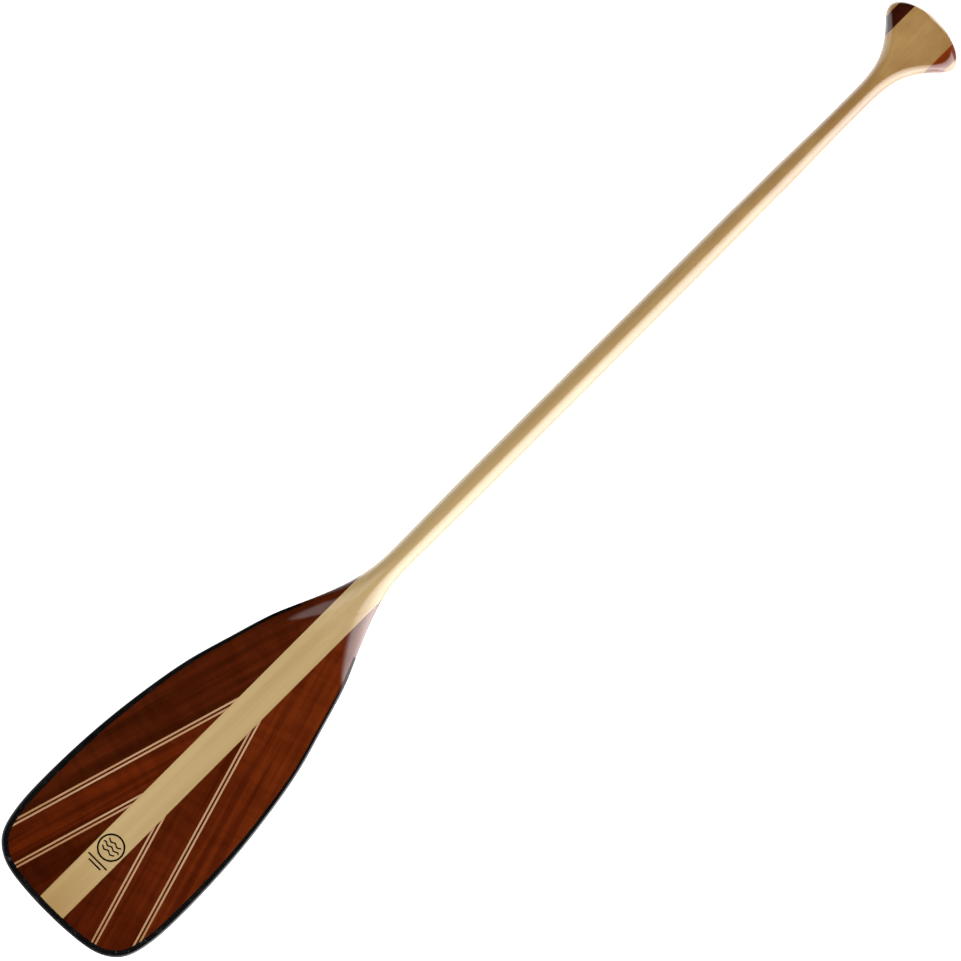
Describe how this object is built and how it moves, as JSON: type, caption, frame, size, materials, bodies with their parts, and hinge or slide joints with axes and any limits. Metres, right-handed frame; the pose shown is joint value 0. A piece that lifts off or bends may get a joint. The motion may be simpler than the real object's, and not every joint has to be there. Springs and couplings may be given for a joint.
{
  "type": "canoe paddle",
  "caption": "Single-bladed laminated wood paddle with a flat tulip-shaped blade, moulded edge guard, slanting inlays, oval shaft and palm grip.",
  "frame": {"origin": "on the ground, below the middle of the paddle's length, as it lies on the back of its shaft", "axes": "+X from the blade's tip to the top of the grip, +Y across the blade, +Z out of the blade's front face"},
  "size_m": [1.32, 0.2044, 0.033],
  "materials": {
    "pale_wood": "basswood, sanded and varnished",
    "dark_wood": "dark red-brown hardwood, gloss varnish over clear glass cloth",
    "black_resin": "moulded black resin, sanded flush"
  },
  "bodies": {
    "root": {"edge_guard": "black_resin", "left_grip_dark_block": "dark_wood", "left_grip_pale_block": "pale_wood", "left_grip_tip_block": "pale_wood", "left_inner_inlay_dark": "dark_wood", "left_inner_inlay_lower_pale": "pale_wood", "left_inner_inlay_upper_pale": "pale_wood", "left_inner_panel": "dark_wood", "left_middle_panel": "dark_wood", "left_outer_inlay_dark": "dark_wood", "left_outer_inlay_lower_pale": "pale_wood", "left_outer_inlay_upper_pale": "pale_wood", "left_outer_panel": "dark_wood", "right_grip_dark_block": "dark_wood", "right_grip_pale_block": "pale_wood", "right_grip_tip_block": "pale_wood", "right_inner_inlay_dark": "dark_wood", "right_inner_inlay_lower_pale": "pale_wood", "right_inner_inlay_upper_pale": "pale_wood", "right_inner_panel": "dark_wood", "right_middle_panel": "dark_wood", "right_outer_inlay_dark": "dark_wood", "right_outer_inlay_lower_pale": "pale_wood", "right_outer_inlay_upper_pale": "pale_wood", "right_outer_panel": "dark_wood", "shaft_core_ply": "pale_wood", "shaft_front_face_ply": "pale_wood", "shaft_front_ply": "pale_wood", "shaft_rear_face_ply": "pale_wood", "shaft_rear_ply": "pale_wood"}
  },
  "joints": []
}
